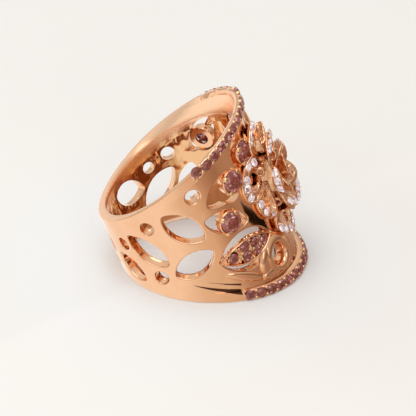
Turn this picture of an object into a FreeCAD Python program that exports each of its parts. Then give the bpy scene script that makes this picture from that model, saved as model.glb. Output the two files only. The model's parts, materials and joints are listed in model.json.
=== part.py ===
import FreeCAD, Part
import math
import os

# A wide openwork band ring with a rose on its head.  Millimetres and degrees.
# Working frame: Z is the finger axis, +X points out through the rose, the hole's centre is the origin.
# Places on the band are (angle round the finger, share of the way from its middle to the rim plane there).
# Angle 0 is the head, negative angles are the left side (-Y); share 1 is the upper rim, -1 the lower one.

Vector = FreeCAD.Vector

# Band
bore_diameter = 17.2
band_wall = 1.2
side_half_width = 7.28
rim_tilt = 20.7
outer_rim_round = 0.2
opening_edge_round = 0.18
leaf_tip_round = 0.45

# The bore opens out towards each rim, most at the head: radii at the rim plane, depths below it
flare_head_lip = 0.65
flare_back_lip = 1.0
flare_head_depth = 3.2
flare_back_depth = 0.6

# Raised rails along both rims, and the stone-set inlay let into each of them
rail_rise = 0.55
rail_end_angle = 85.0
rail_width = 1.35
rail_sink = 0.7
inlay_depth = 0.85
inlay_end_angle = 67.5
rail_stone_diameter = 1.16
rail_stone_count = 17
rail_stone_end_angle = 63.0
bead_radius = 0.2
bead_side_offset = 0.42
bead_sink = 0.05

# Round stones, as shares of their diameter
crown_share = 0.15
pavilion_share = 0.43
table_share = 0.56
seat_clearance = 0.02
girdle_stand = 0.1

# Large brown stones in claw collets
brown_stone_diameter = 2.5
collet_wall = 0.24
collet_stand = 0.12
collet_back_gap = 0.2
collet_back_hole = 1.5
claw_count = 4
claw_radius = 0.24
claw_rise = 0.22
claw_overhang = 0.14
claw_foot = 0.03

# Leaf plate with six small stones, held at its tips
plate_length = 7.6
plate_width = 3.0
plate_stand = 0.15
plate_thickness = 0.95
plate_opening_share = 0.66
plate_tip_bite = 0.35
plate_stone_diameter = 1.1

# Eyelets: short tubes under a round domed lip
eyelet_bore_radius = 0.98
eyelet_wall = 0.42
eyelet_lip_radius = 2.0
eyelet_stand = 0.55
eyelet_back_gap = 0.05
eyelet_lip_round = 0.42

# Rose
rose_height_share = 0.091
base_radius = 3.2
base_rise = 0.85
white_stone_diameter = 0.85
white_stone_pitch = 1.0
petal_gap_angle = 1.5
petal_room = 0.15

# Outer petals: shells of one tube, wider than they are high, whose axis lies beyond the finger's
outer_petal_edge_stand = 0.36
outer_petal_thickness = 0.45
outer_petal_root = 2.6
outer_petal_border = 0.55
outer_opening_root_gap = 0.3
outer_opening_tip_gap = 1.2
# (turn about the rose, reach from its axis, width, width of the leaf-shaped opening or 0, stones)
outer_petals = [
    (92.0, 7.2, 5.6, 1.6, 5),
    (150.0, 6.3, 5.4, 1.4, 5),
    (205.0, 5.3, 4.2, 0, 3),
    (262.0, 7.2, 6.4, 1.8, 6),
    (326.0, 6.4, 5.4, 1.4, 5),
    (29.0, 6.0, 4.9, 1.2, 5),
]

# Standing petals: walls on a sector of a bowl, with rounded tops
petal_sag_share = 0.1
petal_stone_edge = 0.62
middle_petal_foot = 2.5
middle_petal_thickness = 0.5
# (turn about the rose, spread of the top beyond the foot, height, width, stones)
middle_petals = [
    (98.0, 3.1, 1.35, 5.4, 4),
    (166.0, 1.2, 1.75, 4.4, 3),
    (237.0, 2.0, 1.45, 5.0, 4),
    (304.0, 2.7, 1.35, 5.4, 4),
    (22.0, 1.6, 1.7, 4.8, 3),
]
inner_petal_foot = 1.5
inner_petal_thickness = 0.45
inner_petals = [
    (84.0, 1.9, 2.5, 4.4, 0),
    (205.0, 1.0, 2.2, 3.8, 0),
    (325.0, 1.3, 2.35, 4.0, 0),
]
bud_radius = 0.85
bud_wall = 0.3
bud_slot_angle = 60.0
bud_rise = 2.3
bud_core_radius = 0.3
bud_floor = 0.3

# Leaf-shaped openings: (angle, share, length, width, lean from the band's run)
left_leaves = [
    (-83.6, 0.351, 5.8, 3.1, -52.0),
    (-86.2, -0.292, 5.4, 3.0, 19.5),
    (-115.2, 0.114, 6.0, 3.0, -47.0),
    (-136.8, -0.415, 4.6, 2.7, -46.0),
    (-161.4, 0.239, 4.2, 2.3, -52.0),
]
right_leaves = [
    (148.0, 0.326, 5.1, 2.9, 22.0),
    (121.6, -0.131, 6.3, 3.0, -35.0),
    (97.0, -0.234, 5.4, 2.9, -68.0),
    (171.5, -0.166, 3.8, 2.0, 62.0),
]
# Round openings: (angle, share, diameter)
left_rounds = [
    (-107.7, 0.609, 1.65),
    (-135.0, 0.307, 1.6),
    (-112.7, -0.518, 1.75),
    (-69.2, 0.704, 1.7),
    (-160.0, -0.526, 1.3),
]
right_rounds = [
    (104.7, 0.465, 1.7),
    (123.1, 0.456, 1.45),
    (107.7, -0.609, 1.65),
    (146.0, -0.475, 1.4),
    (69.2, -0.704, 1.7),
]
# Collets: (angle, share) of the stone, then (angle, share, length, width, lean) of its leaf opening
left_collets = [
    ((-52.4, 0.088), (-53.8, 0.112, 5.8, 2.7, -30.0)),
    ((-43.4, 0.426), (-47.8, 0.497, 5.3, 2.9, 21.0)),
    ((-19.6, 0.622), (-22.8, 0.683, 3.8, 2.7, 62.0)),
]
right_collets = [
    ((75.6, 0.415), (72.6, 0.513, 6.4, 2.7, -45.0)),
    ((52.4, -0.088), (53.8, -0.112, 5.8, 2.7, -30.0)),
    ((43.4, -0.426), (47.8, -0.497, 5.3, 2.9, 21.0)),
    ((19.6, -0.622), (22.8, -0.683, 3.8, 2.7, 62.0)),
]
# The leaf plate: (angle, share, lean), and on its face (along the leaf, across it) of its stones and beads
plate_place = (-48.3, -0.354, -3.4)
plate_stones = [
    (-1.85, 0.1),
    (-0.38, 0.62),
    (-0.42, -0.62),
    (1.1, 0.42),
    (1.18, -0.75),
    (2.45, -0.05),
]
plate_beads = [
    (-2.75, 0.0),
    (-1.15, 0.75),
    (-1.15, -0.6),
    (0.37, 0.0),
    (0.42, 1.05),
    (1.95, 0.6),
    (1.95, -0.75),
]
eyelet_places = {"left_eyelet": (-28.6, -0.608), "right_eyelet": (28.6, 0.608)}

# Worked out from the above
bore_radius = bore_diameter / 2
band_radius = bore_radius + band_wall
tilt_slope = math.tan(math.radians(rim_tilt))
end_turn = math.radians(rail_end_angle)
rail_gap = band_radius + rail_rise - band_radius * math.cos(end_turn)
rail_offset = rail_rise * (band_radius + rail_rise / 2) / rail_gap
rail_radius = band_radius + rail_rise - rail_offset
reach = 4 * (band_radius + side_half_width)
base_top = band_radius + base_rise
collet_radius = brown_stone_diameter / 2 + collet_wall
rose_height_on_band = rose_height_share * (side_half_width + tilt_slope * band_radius)
outer_petal_edge = max(abs(petal[1] * math.cos(math.radians(petal[0]))) for petal in outer_petals)
outer_petal_drop = base_top - math.sqrt(band_radius ** 2 - outer_petal_edge ** 2) - outer_petal_edge_stand
outer_petal_radius = (outer_petal_drop ** 2 + outer_petal_edge ** 2) / (2 * outer_petal_drop)
outer_petal_centre = base_top - outer_petal_radius
flare_head_radius = band_radius + rail_rise - flare_head_lip
flare_back_radius = band_radius - flare_back_lip
flare_radius = (flare_head_radius + flare_back_radius) / 2
flare_offset = (flare_head_radius - flare_back_radius) / 2
flare_levels = [-0.1, 0.0, 0.2, 0.4, 0.6, 0.8, 1.0]
tolerance = 1e-4
join_tolerance = 1e-5


# ---------------------------------------------------------------- places and plain shapes

def placed(shape, place):
    """A copy of the shape, moved by the placement."""
    copy = shape.copy()
    copy.Placement = place.multiply(copy.Placement)
    return copy


def on_round(angle, height, radius, lean=0.0, centre=0.0):
    """A place on a cylinder: x along the turn (leant by an angle), y along the axis, z outward."""
    turn = math.radians(angle)
    outward = Vector(math.cos(turn), math.sin(turn), 0)
    along = Vector(-math.sin(turn), math.cos(turn), 0)
    point = Vector(centre, 0, height) + outward * radius
    facing = FreeCAD.Rotation(along, Vector(0, 0, 1), outward, "ZXY")
    leant = facing.multiply(FreeCAD.Rotation(Vector(0, 0, 1), lean))
    return FreeCAD.Placement(point, leant)


def on_band(angle, share, radius, lean=0.0):
    """A place over the band's wall, its height given as a share of the way to the rim plane there."""
    half_height = side_half_width + tilt_slope * band_radius * math.cos(math.radians(angle))
    return on_round(angle, share * half_height, radius, lean)


def finger_cylinder(radius, centre=0.0):
    """A long cylinder along the finger axis."""
    return Part.makeCylinder(radius, 2 * reach, Vector(centre, 0, -reach))


def rim_half_space(side, inset=0.0):
    """All that lies beyond the upper (side 1) or lower (side -1) rim plane, moved in by the inset."""
    block = Part.makeBox(2 * reach, 2 * reach, reach, Vector(-reach, -reach, 0))
    block.rotate(Vector(0, 0, 0), Vector(0, 1, 0), -rim_tilt)
    block.translate(Vector(0, 0, side_half_width - inset))
    if side < 0:
        block = block.mirror(Vector(0, 0, 0), Vector(0, 0, 1))
    return block


def leaf_prism(length, width, depth, tip_round=leaf_tip_round):
    """A pointed oval between two arcs, with its tips rounded, as deep below its place as above it."""
    start = Vector(-length / 2, 0, -depth)
    end = Vector(length / 2, 0, -depth)
    upper = Part.Arc(start, Vector(0, width / 2, -depth), end).toShape()
    lower = Part.Arc(end, Vector(0, -width / 2, -depth), start).toShape()
    prism = Part.Face(Part.Wire([upper, lower])).extrude(Vector(0, 0, 2 * depth))
    tips = [edge for edge in prism.Edges if abs(edge.Vertexes[0].X - edge.Vertexes[-1].X) < tolerance
            and abs(edge.Vertexes[0].Z - edge.Vertexes[-1].Z) > depth]
    return prism.makeFillet(tip_round, tips)


def round_stone(diameter, sides=8):
    """A faceted stone with its girdle at height 0, its table up and its point down."""
    def ring(radius, height):
        corners = [Vector(radius * math.cos(2 * math.pi * k / sides),
                          radius * math.sin(2 * math.pi * k / sides), height) for k in range(sides + 1)]
        return Part.makePolygon(corners)
    girdle = ring(diameter / 2, 0)
    crown = Part.makeLoft([girdle, ring(diameter * table_share / 2, diameter * crown_share)], True, True)
    culet = Part.Vertex(0, 0, -diameter * pavilion_share)
    pavilion = Part.makeLoft([girdle, culet], True, True)
    return crown.fuse(pavilion).removeSplitter().Solids[0]


def stone_seat(diameter, above):
    """The cutter for a stone's seat: a cone under the girdle and a straight hole above it."""
    radius = diameter / 2 + seat_clearance
    depth = diameter * pavilion_share + seat_clearance
    cone = Part.makeCone(0, radius, depth, Vector(0, 0, -depth))
    return cone.fuse(Part.makeCylinder(radius, above, Vector(0, 0, 0)))


def stone_room(diameter):
    """The cutter that keeps claws off a stone: a cone under the girdle and a blunt cone over it."""
    radius = diameter / 2 + seat_clearance
    depth = diameter * pavilion_share + seat_clearance
    crown = diameter * crown_share + seat_clearance
    cone = Part.makeCone(0, radius, depth, Vector(0, 0, -depth))
    return cone.fuse(Part.makeCone(radius, radius * table_share, crown, Vector(0, 0, 0)))


def cut_seats(metal, places, diameter):
    """The metal with one seat at each place."""
    cutter = stone_seat(diameter, above=diameter)
    return metal.cut([placed(cutter, place) for place in places])


def with_beads(metal, places):
    """The metal with one raised bead at each place."""
    bead = Part.makeSphere(bead_radius)
    return metal.fuse([placed(bead, place) for place in places])


def stones_at(places, diameter, sides=8):
    """Separate stones, one at each place."""
    stone = round_stone(diameter, sides)
    return Part.makeCompound([placed(stone, place) for place in places])


# ---------------------------------------------------------------- band

def rim_slab(side):
    """The layer, one rail wide, just inside a rim plane."""
    return rim_half_space(side, rail_width).cut(rim_half_space(side))


def inlay_region(side):
    """The space of the curved bar that is let into a rail: one rail wide, open to the outside."""
    outside = finger_cylinder(rail_radius + rail_rise, rail_offset)
    ring = outside.cut(finger_cylinder(rail_radius - inlay_depth, rail_offset))
    half_turn = math.radians(inlay_end_angle)
    far = Vector(rail_offset + reach * math.cos(half_turn), reach * math.sin(half_turn), -reach)
    outline = Part.makePolygon([Vector(rail_offset, 0, -reach), Vector(far.x, -far.y, -reach),
                                Vector(reach, 0, -reach), far, Vector(rail_offset, 0, -reach)])
    wedge = Part.Face(outline).extrude(Vector(0, 0, 2 * reach))
    return ring.common(rim_slab(side)).common(wedge)


def outer_opening_edges(band):
    """The edges of the openings on the band's outside, all short beside the rims."""
    found = []
    for edge in band.Edges:
        middle = edge.valueAt((edge.FirstParameter + edge.LastParameter) / 2)
        on_outside = abs(math.hypot(middle.x, middle.y) - band_radius) < tolerance
        inside_rims = abs(middle.z) < side_half_width + tilt_slope * middle.x - 2 * outer_rim_round
        if on_outside and inside_rims and edge.Length < band_radius:
            found.append(edge)
    return found


def rim_edges(solid, radius, centre=0.0):
    """The edges where the rim planes meet a cylinder along the finger."""
    found = []
    for edge in solid.Edges:
        points = [vertex.Point for vertex in edge.Vertexes]
        points.append(edge.valueAt((edge.FirstParameter + edge.LastParameter) / 2))
        off_rim = [abs(abs(point.z) - side_half_width - tilt_slope * point.x) for point in points]
        off_cylinder = [abs(math.hypot(point.x - centre, point.y) - radius) for point in points]
        if max(off_rim + off_cylinder) < tolerance:
            found.append(edge)
    return found


def make_rail(side):
    """A raised crescent along one rim, deepest at the head, sunk into the band's wall."""
    disc = finger_cylinder(rail_radius, rail_offset).common(rim_slab(side))
    crescent = disc.cut(finger_cylinder(band_radius - rail_sink))
    return crescent.makeFillet(outer_rim_round, rim_edges(crescent, rail_radius, rail_offset))


def make_flare(side):
    """The cutter that opens the bore towards a rim: slanted ellipses that swell smoothly to the rim plane."""
    sections = []
    for level in flare_levels:
        swell = (1 - level) ** 2
        radius = bore_radius + (flare_radius - bore_radius) * swell
        centre = flare_offset * swell
        slope = tilt_slope - level * (flare_head_depth - flare_back_depth) / (2 * bore_radius)
        height = side_half_width - level * (flare_head_depth + flare_back_depth) / 2
        middle = Vector(centre, 0, height + slope * centre)
        long_end = middle + Vector(radius, 0, slope * radius)
        sections.append(Part.Wire(Part.Ellipse(long_end, middle + Vector(0, radius, 0), middle).toShape()))
    flare = Part.makeLoft(sections, True)
    return flare if side > 0 else flare.mirror(Vector(0, 0, 0), Vector(0, 0, 1))


def make_blank():
    """The band's tube between its rim planes, with the two rails, rounded rims and flared bore ends."""
    flares = [make_flare(1), make_flare(-1)]
    tube = finger_cylinder(band_radius).cut(finger_cylinder(bore_radius))
    tube = tube.cut([rim_half_space(1), rim_half_space(-1)])
    tube = tube.makeFillet(outer_rim_round, rim_edges(tube, band_radius))
    return tube.cut(flares).fuse([make_rail(side).cut(flares) for side in (1, -1)], join_tolerance)


def make_band(blank):
    """The pierced band, with the seats for the inlays, collets, leaf plate and eyelets."""
    middle_radius = bore_radius + band_wall / 2
    cutters = []
    openings = left_leaves + right_leaves + [opening for stone, opening in left_collets + right_collets]
    for angle, share, length, width, lean in openings:
        place = on_band(angle, share, middle_radius, lean)
        cutters.append(placed(leaf_prism(length, width, band_wall), place))
    for angle, share, diameter in left_rounds + right_rounds:
        drill = Part.makeCylinder(diameter / 2, 2 * band_wall, Vector(0, 0, -band_wall))
        cutters.append(placed(drill, on_band(angle, share, middle_radius)))
    angle, share, lean = plate_place
    opening_length = plate_length - 2 * plate_tip_bite
    plate_opening = leaf_prism(opening_length, plate_opening_share * side_half_width, band_wall)
    cutters.append(placed(plate_opening, on_band(angle, share, middle_radius, lean)))
    band = blank.cut(cutters)
    band = band.makeFillet(opening_edge_round, outer_opening_edges(band))
    seats = [inlay_region(1), inlay_region(-1), plate_blank()]
    for stone, opening in left_collets + right_collets:
        socket = Part.makeCylinder(collet_radius, 2 * band_wall, Vector(0, 0, -band_wall))
        seats.append(placed(socket, on_band(*stone, middle_radius)))
    for place in eyelet_places.values():
        socket = Part.makeCylinder(eyelet_bore_radius + eyelet_wall, 2 * band_wall, Vector(0, 0, -band_wall))
        seats.append(placed(socket, on_band(*place, middle_radius)))
    return band.cut(seats)


# ---------------------------------------------------------------- rail inlays

def rail_place(angle, side, height_offset=0.0, sink=0.0):
    """A place on a rail's crown line, offset along the finger axis."""
    x = rail_offset + rail_radius * math.cos(math.radians(angle))
    height = side * (side_half_width + tilt_slope * x - rail_width / 2) + height_offset
    return on_round(angle, height, rail_radius - sink, centre=rail_offset)


def rail_stone_places(side):
    step = 2 * rail_stone_end_angle / (rail_stone_count - 1)
    angles = [-rail_stone_end_angle + k * step for k in range(rail_stone_count)]
    return [rail_place(angle, side, sink=-girdle_stand / 2) for angle in angles]


def make_inlay(blank, side):
    """One rail inlay: the bar with a row of seats, and a pair of beads between each two stones."""
    bar = cut_seats(blank.common(inlay_region(side)), rail_stone_places(side), rail_stone_diameter)
    step = 2 * rail_stone_end_angle / (rail_stone_count - 1)
    beads = []
    for k in range(rail_stone_count - 1):
        angle = -rail_stone_end_angle + (k + 0.5) * step
        for offset in (-bead_side_offset, bead_side_offset):
            beads.append(rail_place(angle, side, offset, sink=bead_sink))
    return with_beads(bar, beads)


# ---------------------------------------------------------------- collets, plate, eyelets

def collet_place(stone):
    return on_band(*stone, band_radius)


def make_collet(stone):
    """A short tube through the wall, with a coned seat, an open back and claws over the girdle."""
    girdle = collet_stand + girdle_stand
    floor = collet_back_gap - band_wall
    tube = Part.makeCylinder(collet_radius, collet_stand - floor, Vector(0, 0, floor))
    post = Part.makeCylinder(claw_radius, girdle + claw_rise - claw_foot, Vector(0, 0, claw_foot))
    claw = post.fuse(Part.makeSphere(claw_radius, Vector(0, 0, girdle + claw_rise)))
    claws = []
    for k in range(claw_count):
        turn = math.radians(360.0 * (k + 0.5) / claw_count)
        radius = collet_radius + claw_overhang - claw_radius
        move = Vector(radius * math.cos(turn), radius * math.sin(turn), 0)
        claws.append(placed(claw, FreeCAD.Placement(move, FreeCAD.Rotation())))
    room = stone_room(brown_stone_diameter)
    room.translate(Vector(0, 0, girdle))
    back = Part.makeCylinder(collet_back_hole / 2, -floor, Vector(0, 0, 1.5 * floor))
    metal = tube.fuse(claws).cut([room, back])
    return placed(metal, collet_place(stone))


def make_brown_stone(stone):
    gem = round_stone(brown_stone_diameter, sides=12)
    gem.translate(Vector(0, 0, collet_stand + girdle_stand))
    return placed(gem, collet_place(stone))


def plate_blank():
    """The leaf plate before its seats: a leaf cut out of a tube wall that stands a little proud."""
    angle, share, lean = plate_place
    outside = finger_cylinder(band_radius + plate_stand)
    shell = outside.cut(finger_cylinder(band_radius + plate_stand - plate_thickness))
    prism = leaf_prism(plate_length, plate_width, 2 * band_wall)
    return shell.common(placed(prism, on_band(angle, share, band_radius, lean)))


def plate_spot(point, sink=0.0):
    """A place on the leaf plate's face, from (along the leaf, across it)."""
    angle, share, lean = plate_place
    turn = math.radians(lean)
    along = point[0] * math.cos(turn) - point[1] * math.sin(turn)
    across = point[0] * math.sin(turn) + point[1] * math.cos(turn)
    radius = band_radius + plate_stand
    height = on_band(angle, share, radius).Base.z + across
    return on_round(angle + math.degrees(along / radius), height, radius - sink)


def make_plate():
    plate = cut_seats(plate_blank(), [plate_spot(point) for point in plate_stones], plate_stone_diameter)
    return with_beads(plate, [plate_spot(point, sink=bead_sink) for point in plate_beads])


def make_eyelet(place):
    """A short tube through the wall, flush inside, under a round domed lip that lies on the band."""
    length = band_wall - eyelet_back_gap + eyelet_stand
    tube = Part.makeCylinder(eyelet_bore_radius + eyelet_wall, length, Vector(0, 0, eyelet_stand - length))
    lip = Part.makeCylinder(eyelet_lip_radius, band_wall + eyelet_stand, Vector(0, 0, -band_wall))
    edges = [edge for edge in lip.Edges if abs(edge.BoundBox.ZMin - eyelet_stand) < tolerance]
    seat = on_band(*place, band_radius)
    lip = placed(lip.makeFillet(eyelet_lip_round, edges), seat).cut(finger_cylinder(band_radius))
    hole = Part.makeCylinder(eyelet_bore_radius, 2 * length, Vector(0, 0, -length))
    return placed(tube, seat).fuse(lip).cut(placed(hole, seat))


# ---------------------------------------------------------------- rose

def rose_place(turn):
    """The rose's own frame, turned about its axis: x outward in the rose, z out of the band."""
    radial = math.radians(turn)
    out = Vector(0, math.cos(radial), math.sin(radial))
    facing = FreeCAD.Rotation(out, Vector(1, 0, 0).cross(out), Vector(1, 0, 0), "ZXY")
    return FreeCAD.Placement(Vector(0, 0, rose_height_on_band), facing)


def make_rose_base():
    """A round foot that stands on the band and carries every petal."""
    foot = Part.makeCylinder(base_radius, base_top, Vector(0, 0, 0))
    return placed(foot, rose_place(0)).cut(finger_cylinder(band_radius))


def sector(petals, index):
    """The wedge of the rose that one petal of a ring of petals may fill, half way to its neighbours."""
    turns = [petal[0] for petal in petals]
    before = (turns[index] - turns[index - 1]) % 360 / 2 - petal_gap_angle / 2
    after = (turns[(index + 1) % len(turns)] - turns[index]) % 360 / 2 - petal_gap_angle / 2
    corners = [Vector(0, 0, 0)]
    for swing in (-before, 0, after):
        corners.append(Vector(math.cos(math.radians(swing)), math.sin(math.radians(swing)), 0) * reach)
    wedge = Part.Face(Part.makePolygon(corners + corners[:1])).extrude(Vector(0, 0, reach))
    return placed(wedge, rose_place(turns[index]))


def outer_petal_ellipse(petal, border=0.0):
    """Centre, half length and half width of an outer petal's outline, moved in by the border."""
    turn, petal_reach, width, opening, stones = petal
    half_length = (petal_reach - outer_petal_root) / 2
    return outer_petal_root + half_length, half_length - border, width / 2 - border


def ellipse_prism(centre, along, across, height):
    """An upright elliptic prism; along is the half axis on x, across the one on y."""
    middle = Vector(centre, 0, 0)
    long_end = middle + Vector(along, 0, 0)
    wide_end = middle + Vector(0, across, 0)
    if along < across:
        long_end, wide_end = wide_end, middle - Vector(along, 0, 0)
    curve = Part.Ellipse(long_end, wide_end, middle)
    return Part.Face(Part.Wire(curve.toShape())).extrude(Vector(0, 0, height))


def outer_stone_places(petal):
    """Places evenly along an outer petal's edge, on its outer face."""
    centre, along, across = outer_petal_ellipse(petal, outer_petal_border)
    turn = math.radians(petal[0])
    count = petal[-1]
    places = []
    for k in range(count):
        sweep = 2 * white_stone_pitch / (along + across) * (k - (count - 1) / 2)
        x = centre + along * math.cos(sweep)
        y = across * math.sin(sweep)
        lateral = x * math.cos(turn) - y * math.sin(turn)
        height = rose_height_on_band + x * math.sin(turn) + y * math.cos(turn)
        angle = math.degrees(math.asin(lateral / outer_petal_radius))
        places.append(on_round(angle, height, outer_petal_radius, centre=outer_petal_centre))
    return places


def make_outer_petal(index):
    """A rounded petal close over the band, open inside its stone-set edge, clear of the collets beside it."""
    petal = outer_petals[index]
    outside = finger_cylinder(outer_petal_radius, outer_petal_centre)
    shell = outside.cut(finger_cylinder(outer_petal_radius - outer_petal_thickness, outer_petal_centre))
    leaf = rose_place(petal[0])
    outline = placed(ellipse_prism(*outer_petal_ellipse(petal), reach), leaf)
    cutters = [finger_cylinder(band_radius), placed(Part.makeCylinder(base_radius, reach), leaf)]
    if petal[3] > 0:
        start = base_radius + outer_opening_root_gap
        end = petal[1] - outer_opening_tip_gap
        hole = leaf_prism(end - start, petal[3], reach, leaf_tip_round / 2)
        hole.translate(Vector((start + end) / 2, 0, 0))
        cutters.append(placed(hole, leaf))
    for stone, opening in left_collets + right_collets:
        room = Part.makeCylinder(collet_radius + petal_room, 2 * base_rise, Vector(0, 0, -base_rise))
        cutters.append(placed(room, collet_place(stone)))
    for place in eyelet_places.values():
        room = Part.makeCylinder(eyelet_lip_radius + petal_room, 2 * base_rise, Vector(0, 0, -base_rise))
        cutters.append(placed(room, on_band(*place, band_radius)))
    shape = shell.common(outline).common(sector(outer_petals, index)).cut(cutters)
    return cut_seats(max(shape.Solids, key=lambda solid: solid.Volume), outer_stone_places(petal),
                     white_stone_diameter)


def bowl_profile(petal, foot, inset=0.0):
    """The bowed profile of a standing petal, foot to top, in the plane of x (out) and z (up)."""
    turn, spread, height, width, stones = petal
    run = Vector(spread, 0, height)
    inward = Vector(-height, 0, spread) * (inset / run.Length)
    start = Vector(foot, 0, base_top) + inward
    sag = Vector(height, 0, -spread) * petal_sag_share
    return Part.Arc(start, start + run / 2 + sag, start + run).toShape()


def make_standing_petal(petals, index, foot, thickness):
    """A standing petal: a bowed wall round the rose's axis, cut to its sector and to a rounded top."""
    turn, spread, height, width, stones = petals[index]
    outside = bowl_profile(petals[index], foot)
    inside = bowl_profile(petals[index], foot, thickness)
    heel = Vector(foot - thickness, 0, base_top)
    lines = []
    for start, end in ((inside.Vertexes[0].Point, heel), (heel, outside.Vertexes[0].Point),
                       (outside.Vertexes[-1].Point, inside.Vertexes[-1].Point)):
        lines.append(Part.makeLine(start, end))
    section = Part.Face(Part.Wire(Part.__sortEdges__([outside, inside] + lines)))
    wall = section.revolve(Vector(0, 0, 0), Vector(0, 0, 1), 360)
    arch = ellipse_prism(0, height + thickness, width / 2, reach)
    arch.rotate(Vector(0, 0, 0), Vector(0, 1, 0), 90)
    arch.translate(Vector(0, 0, base_top))
    return placed(wall.common(arch), rose_place(turn)).common(sector(petals, index))


def middle_stone_places(index):
    """Places across a middle petal near its top: outside an upright petal, inside a wide-open one."""
    turn, spread, height, width, stones = middle_petals[index]
    inset = middle_petal_thickness if spread > height else 0
    profile = bowl_profile(middle_petals[index], middle_petal_foot, inset)
    spot = profile.getParameterByLength(profile.Length - petal_stone_edge)
    point = profile.valueAt(spot)
    upward = profile.tangentAt(spot)
    outward = Vector(-upward.z, 0, upward.x) if inset else Vector(upward.z, 0, -upward.x)
    facing = FreeCAD.Rotation(upward, outward.cross(upward), outward, "ZXY")
    swing = math.degrees(white_stone_pitch / point.x)
    places = []
    for k in range(stones):
        ring_turn = FreeCAD.Rotation(Vector(0, 0, 1), swing * (k - (stones - 1) / 2))
        swung = FreeCAD.Placement(Vector(0, 0, 0), ring_turn)
        places.append(rose_place(turn).multiply(swung.multiply(FreeCAD.Placement(point, facing))))
    return places


def make_middle_petal(index):
    petal = make_standing_petal(middle_petals, index, middle_petal_foot, middle_petal_thickness)
    return cut_seats(petal, middle_stone_places(index), white_stone_diameter)


def make_bud():
    """The rolled heart: a slotted wall round a core, on a thin floor."""
    foot = Vector(0, 0, base_top)
    wall = Part.makeCylinder(bud_radius, bud_rise, foot)
    wall = wall.cut(Part.makeCylinder(bud_radius - bud_wall, bud_rise, foot))
    slot = Part.makeCylinder(2 * bud_radius, bud_rise, foot, Vector(0, 0, 1), bud_slot_angle)
    floor = Part.makeCylinder(bud_radius, bud_floor, foot)
    core = Part.makeCylinder(bud_core_radius, bud_rise, foot)
    return placed(wall.cut(slot).fuse([floor, core]), rose_place(0))


# ---------------------------------------------------------------- all nodes

def make_nodes():
    blank = make_blank()
    nodes = {"band": make_band(blank)}
    for name, side in (("upper", 1), ("lower", -1)):
        nodes[name + "_rail_inlay"] = make_inlay(blank, side)
        nodes[name + "_rail_stones"] = stones_at(rail_stone_places(side), rail_stone_diameter)
    for name, collets in (("left", left_collets), ("right", right_collets)):
        for number, (stone, opening) in enumerate(collets, 1):
            nodes[f"{name}_collet_{number}"] = make_collet(stone)
            nodes[f"{name}_brown_stone_{number}"] = make_brown_stone(stone)
    nodes["leaf_plate"] = make_plate()
    nodes["leaf_plate_stones"] = stones_at([plate_spot(point) for point in plate_stones], plate_stone_diameter)
    for name, place in eyelet_places.items():
        nodes[name] = make_eyelet(place)
    nodes["rose_base"] = make_rose_base()
    for index, petal in enumerate(outer_petals):
        nodes[f"outer_petal_{index + 1}"] = make_outer_petal(index)
        nodes[f"outer_petal_{index + 1}_stones"] = stones_at(outer_stone_places(petal), white_stone_diameter)
    for index in range(len(middle_petals)):
        nodes[f"middle_petal_{index + 1}"] = make_middle_petal(index)
        nodes[f"middle_petal_{index + 1}_stones"] = stones_at(middle_stone_places(index), white_stone_diameter)
    for index in range(len(inner_petals)):
        petal = make_standing_petal(inner_petals, index, inner_petal_foot, inner_petal_thickness)
        nodes[f"inner_petal_{index + 1}"] = petal
    nodes["rose_bud"] = make_bud()
    return nodes


def main():
    """Each node is tipped back so that the ring stands on its lower rim, and written out."""
    os.makedirs("parts", exist_ok=True)
    for name, shape in make_nodes().items():
        standing = shape.copy()
        standing.rotate(Vector(0, 0, 0), Vector(0, 1, 0), -rim_tilt)
        standing.exportStep("parts/" + name + ".step")
        print(name, len(standing.Solids), standing.isValid(), round(standing.Volume, 3))


main()
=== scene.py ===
import json
import math

import bmesh
import bpy
import numpy as np
from mathutils import Euler, Matrix, Vector


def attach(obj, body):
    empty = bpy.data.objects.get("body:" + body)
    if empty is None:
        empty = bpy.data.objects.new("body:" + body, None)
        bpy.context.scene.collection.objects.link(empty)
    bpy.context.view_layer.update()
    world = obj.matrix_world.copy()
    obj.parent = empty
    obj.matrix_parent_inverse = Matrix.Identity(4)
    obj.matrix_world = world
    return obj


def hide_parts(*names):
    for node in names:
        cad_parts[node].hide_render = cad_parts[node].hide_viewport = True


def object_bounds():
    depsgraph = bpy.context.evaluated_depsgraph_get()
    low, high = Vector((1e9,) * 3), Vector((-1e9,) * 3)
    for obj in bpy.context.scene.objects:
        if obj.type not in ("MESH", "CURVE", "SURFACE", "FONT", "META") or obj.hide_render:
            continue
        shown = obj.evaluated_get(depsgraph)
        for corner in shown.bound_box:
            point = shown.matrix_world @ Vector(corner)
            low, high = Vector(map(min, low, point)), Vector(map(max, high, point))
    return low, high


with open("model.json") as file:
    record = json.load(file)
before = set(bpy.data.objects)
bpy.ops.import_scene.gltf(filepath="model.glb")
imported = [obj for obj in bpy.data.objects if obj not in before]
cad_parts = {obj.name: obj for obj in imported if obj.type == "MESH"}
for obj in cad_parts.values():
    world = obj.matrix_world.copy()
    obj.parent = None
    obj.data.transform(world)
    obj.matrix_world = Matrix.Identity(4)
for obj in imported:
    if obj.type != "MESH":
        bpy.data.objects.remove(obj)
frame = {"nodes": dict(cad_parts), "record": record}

cad_box = [list(corner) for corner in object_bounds()]
MM = 0.001

# ---- The table and the light tent
# The ring stands on its lower rim on a plain pale table, inside a white tent lit softly from above.
# Polished gold shows only what is round it, so a few dark and bright cards stand out of sight.


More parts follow.
